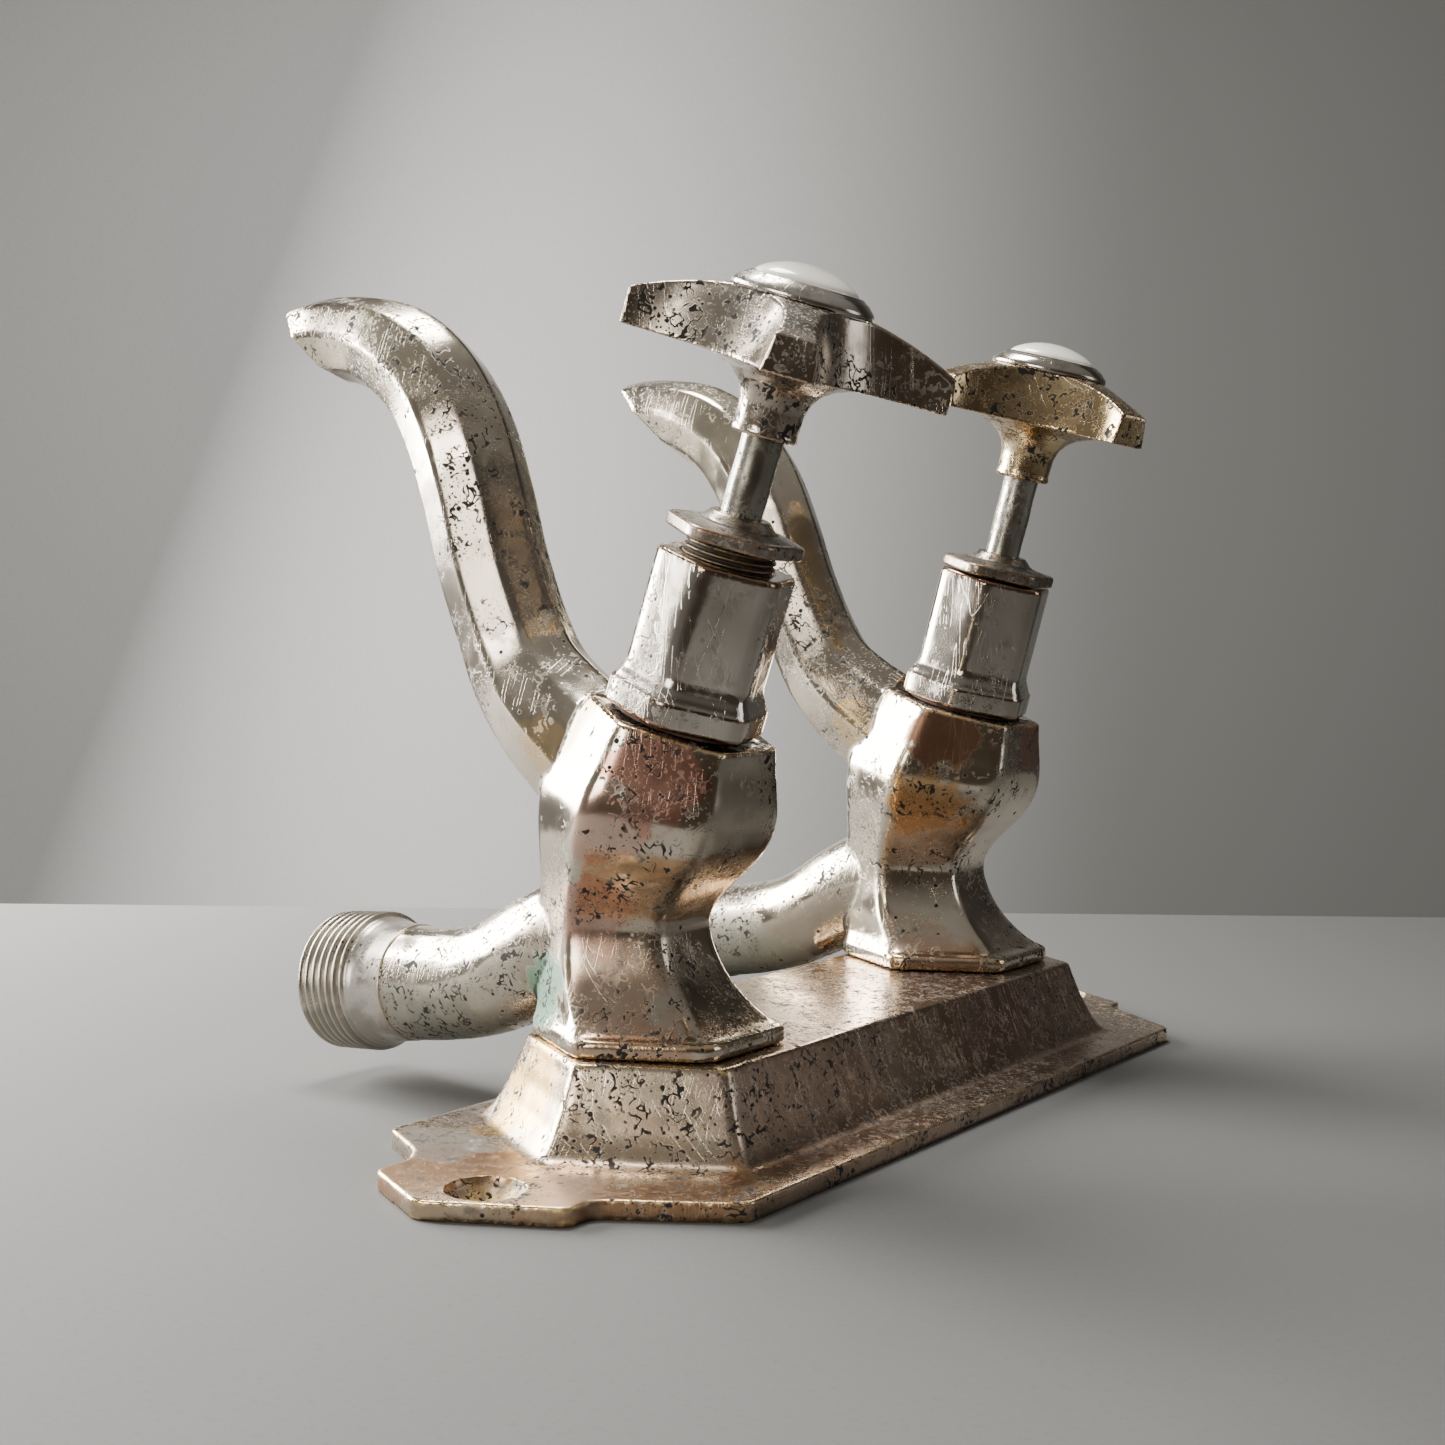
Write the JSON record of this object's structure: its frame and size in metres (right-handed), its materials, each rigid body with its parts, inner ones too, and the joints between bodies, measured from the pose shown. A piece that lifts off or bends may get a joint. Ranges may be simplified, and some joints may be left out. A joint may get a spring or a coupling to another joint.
{
  "type": "wall tap set",
  "caption": "Old-style pair of screw-down taps with cross handles, curved octagonal spouts and threaded inlet tails on one raised mounting plate.",
  "frame": {"origin": "on the back plane of the mounting plate, under the middle of the set's bounding box", "axes": "+Z out of the plate's back towards the handles, +Y along the plate from the near tap to the far tap, +X away from the spouts"},
  "size_m": [0.138, 0.2162, 0.1497],
  "materials": {
    "plated_brass": "worn nickel plating, pitted",
    "plate_casting": "heavily worn nickel plating over brass",
    "brass": "dull machined",
    "fibre": "compressed fibre",
    "rubber": "matt",
    "packing": "greased cord packing",
    "porcelain": "glazed white"
  },
  "bodies": {
    "fixed": {"backplate": "plate_casting", "body_near": "plated_brass", "spout_near": "plated_brass", "inlet_tail_near": "plated_brass", "bonnet_washer_near": "fibre", "bonnet_near": "plated_brass", "gland_nut_near": "plated_brass", "gland_packing_near": "packing", "backnut_washer_near": "brass", "backnut_near": "brass", "body_far": "plated_brass", "spout_far": "plated_brass", "inlet_tail_far": "plated_brass", "bonnet_washer_far": "fibre", "bonnet_far": "plated_brass", "gland_nut_far": "plated_brass", "gland_packing_far": "packing", "backnut_washer_far": "brass", "backnut_far": "brass"},
    "valve_near": {"jumper_valve_near": "brass", "seat_washer_near": "rubber", "washer_nut_near": "brass"},
    "turn_near": {"spindle_near": "plated_brass", "handle_near": "plated_brass", "handle_screw_near": "brass", "index_ring_near": "plated_brass", "index_disc_near": "porcelain"},
    "valve_far": {"jumper_valve_far": "brass", "seat_washer_far": "rubber", "washer_nut_far": "brass"},
    "turn_far": {"spindle_far": "plated_brass", "handle_far": "plated_brass", "handle_screw_far": "brass", "index_ring_far": "plated_brass", "index_disc_far": "porcelain"}
  },
  "joints": [
    {"name": "lift_near", "type": "slide", "parent": "fixed", "child": "valve_near", "axis": [0.3156, 0, 0.9489], "range_m": [-0.0064, 0.0014]},
    {"name": "turn_near", "type": "hinge", "parent": "valve_near", "child": "turn_near", "pos_m": [0.02568, -0.051, 0.0718], "axis": [0.3156, 0, 0.9489], "range_deg": [-900, 180]},
    {"name": "lift_far", "type": "slide", "parent": "fixed", "child": "valve_far", "axis": [0.2504, 0, 0.9681], "range_m": [-0.0064, 0.0014]},
    {"name": "turn_far", "type": "hinge", "parent": "valve_far", "child": "turn_far", "pos_m": [0.02368, 0.051, 0.0718], "axis": [0.2504, 0, 0.9681], "range_deg": [-900, 180]}
  ],
  "couplings": [
    {"joint": "lift_near", "follows": "turn_near", "m_per_rad": 0.00039789},
    {"joint": "lift_far", "follows": "turn_far", "m_per_rad": 0.00039789}
  ]
}
